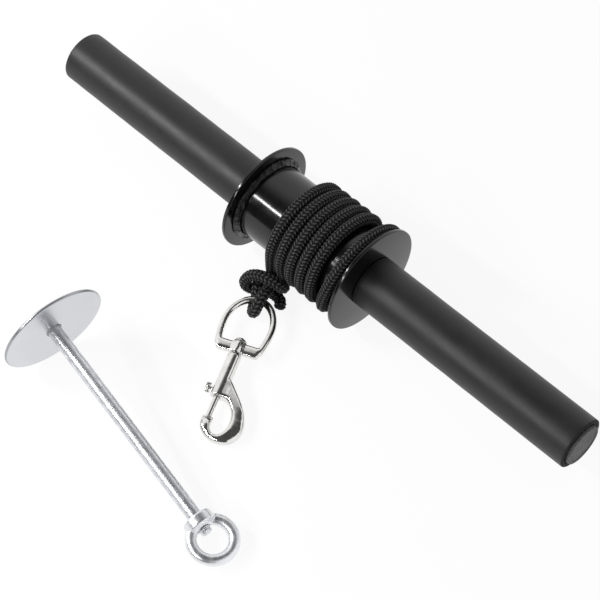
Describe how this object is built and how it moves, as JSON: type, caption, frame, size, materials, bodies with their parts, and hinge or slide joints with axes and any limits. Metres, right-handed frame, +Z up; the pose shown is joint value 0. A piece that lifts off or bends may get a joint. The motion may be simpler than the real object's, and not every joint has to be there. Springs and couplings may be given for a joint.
{
  "type": "wrist roller",
  "caption": "Wrist roller: a rubber-sleeved bar with a welded cord spool, a braided cord ending in a swivel bolt snap, and a loading pin with an eye nut for weight plates",
  "frame": {"origin": "on the surface that the set stands on, under the middle of its bounding box", "axes": "+X along the bar, +Y from the loading pin to the bar, +Z up"},
  "size_m": [0.4754, 0.26, 0.0806],
  "materials": {
    "grip_rubber": "smooth satin black rubber sleeve",
    "tube_steel": "bare drawn steel tube",
    "cap_plastic": "grained grey plastic plug",
    "spool_paint": "gloss black powder coat over welds",
    "cord_braid": "herringbone braid of black polyester",
    "snap_nickel": "polished nickel plate",
    "spring_steel": "drawn spring wire",
    "zinc_plate": "bright zinc plate"
  },
  "bodies": {
    "roller": {"core_tube": "tube_steel", "grip_left": "grip_rubber", "grip_right": "grip_rubber", "end_cap_left": "cap_plastic", "end_cap_right": "cap_plastic", "flange_left": "spool_paint", "flange_right": "spool_paint", "spool_weld_left": "spool_paint", "spool_weld_right": "spool_paint", "spool_drum": "spool_paint", "cord_winding": "cord_braid", "cord_stopper": "cord_braid", "cord_tail": "cord_braid"},
    "ring": {"swivel_ring": "snap_nickel"},
    "hook": {"hook_body": "snap_nickel", "swivel_pin": "snap_nickel", "bolt_spring": "spring_steel"},
    "bolt": {"spring_bolt": "snap_nickel", "thumb_knob": "snap_nickel"},
    "load_pin": {"pin_disc": "zinc_plate", "pin_rod": "zinc_plate", "rod_weld": "zinc_plate"},
    "eye": {"eye_nut": "zinc_plate"}
  },
  "joints": [
    {"name": "ring_swing", "type": "hinge", "parent": "roller", "child": "ring", "pos_m": [-0.00516, 0.03879, 0.012], "axis": [-0.9121, -0.4099, 0], "range_deg": [0, 60]},
    {"name": "hook_swivel", "type": "hinge", "parent": "ring", "child": "hook", "pos_m": [0.01136, 0.00203, 0.00923], "axis": [-0.409, 0.91, 0.0685], "continuous": true},
    {"name": "bolt_slide", "type": "slide", "parent": "hook", "child": "bolt", "axis": [-0.409, 0.91, 0.0685], "range_m": [0, 0.01], "stiffness_N_per_m": 200, "springref_m": -0.01, "deforming": ["bolt_spring"]},
    {"name": "load_pin_lift", "type": "slide", "parent": "roller", "child": "load_pin", "axis": [0, 0, 1], "range_m": [0, 0.15]},
    {"name": "eye_nut_turn", "type": "hinge", "parent": "load_pin", "child": "eye", "pos_m": [0.10361, -0.11205, 0.00869], "axis": [0.9766, -0.1442, -0.1597], "continuous": true}
  ]
}
